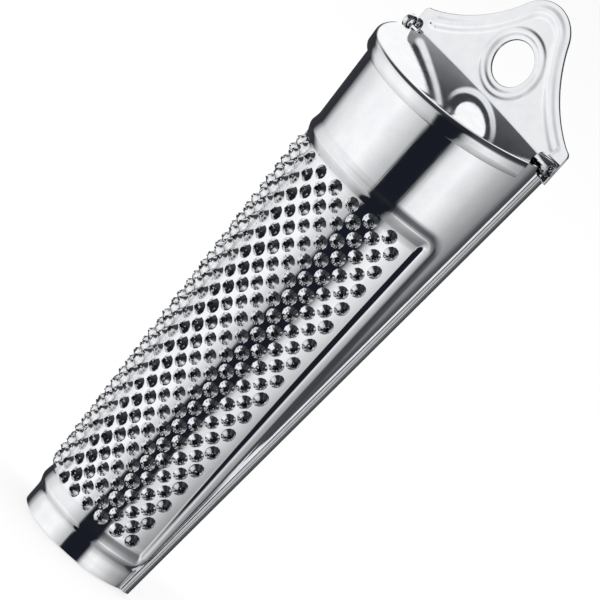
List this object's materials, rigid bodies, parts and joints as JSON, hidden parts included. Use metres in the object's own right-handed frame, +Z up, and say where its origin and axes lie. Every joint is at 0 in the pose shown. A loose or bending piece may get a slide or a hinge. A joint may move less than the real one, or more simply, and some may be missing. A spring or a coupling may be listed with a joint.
{
  "type": "nutmeg grater",
  "caption": "Half-round tapered sheet-steel nutmeg grater with a pierced toothed front, a flat back plate with a hanging tab, and a hinged lid over a small nutmeg store.",
  "frame": {"origin": "on the ground under the middle of the width and of the whole depth, in the plane of the open foot", "axes": "+Z up along the body towards the hanging tab, +X across the width, -Y towards the toothed front, +Y towards the flat back plate"},
  "size_m": [0.0464, 0.0252, 0.14],
  "materials": {
    "back_steel": "polished",
    "shell_steel": "polished",
    "teeth_steel": "polished",
    "floor_steel": "polished",
    "lid_steel": "polished"
  },
  "bodies": {
    "grater": {"back_plate": "back_steel", "grater_shell": "shell_steel", "grating_teeth": "teeth_steel", "store_floor": "floor_steel"},
    "lid": {"lid": "lid_steel"}
  },
  "joints": [
    {"name": "lid_hinge", "type": "hinge", "parent": "grater", "child": "lid", "pos_m": [0, 0.01091, 0.117], "axis": [-1, 0, 0], "range_deg": [0, 99]}
  ]
}
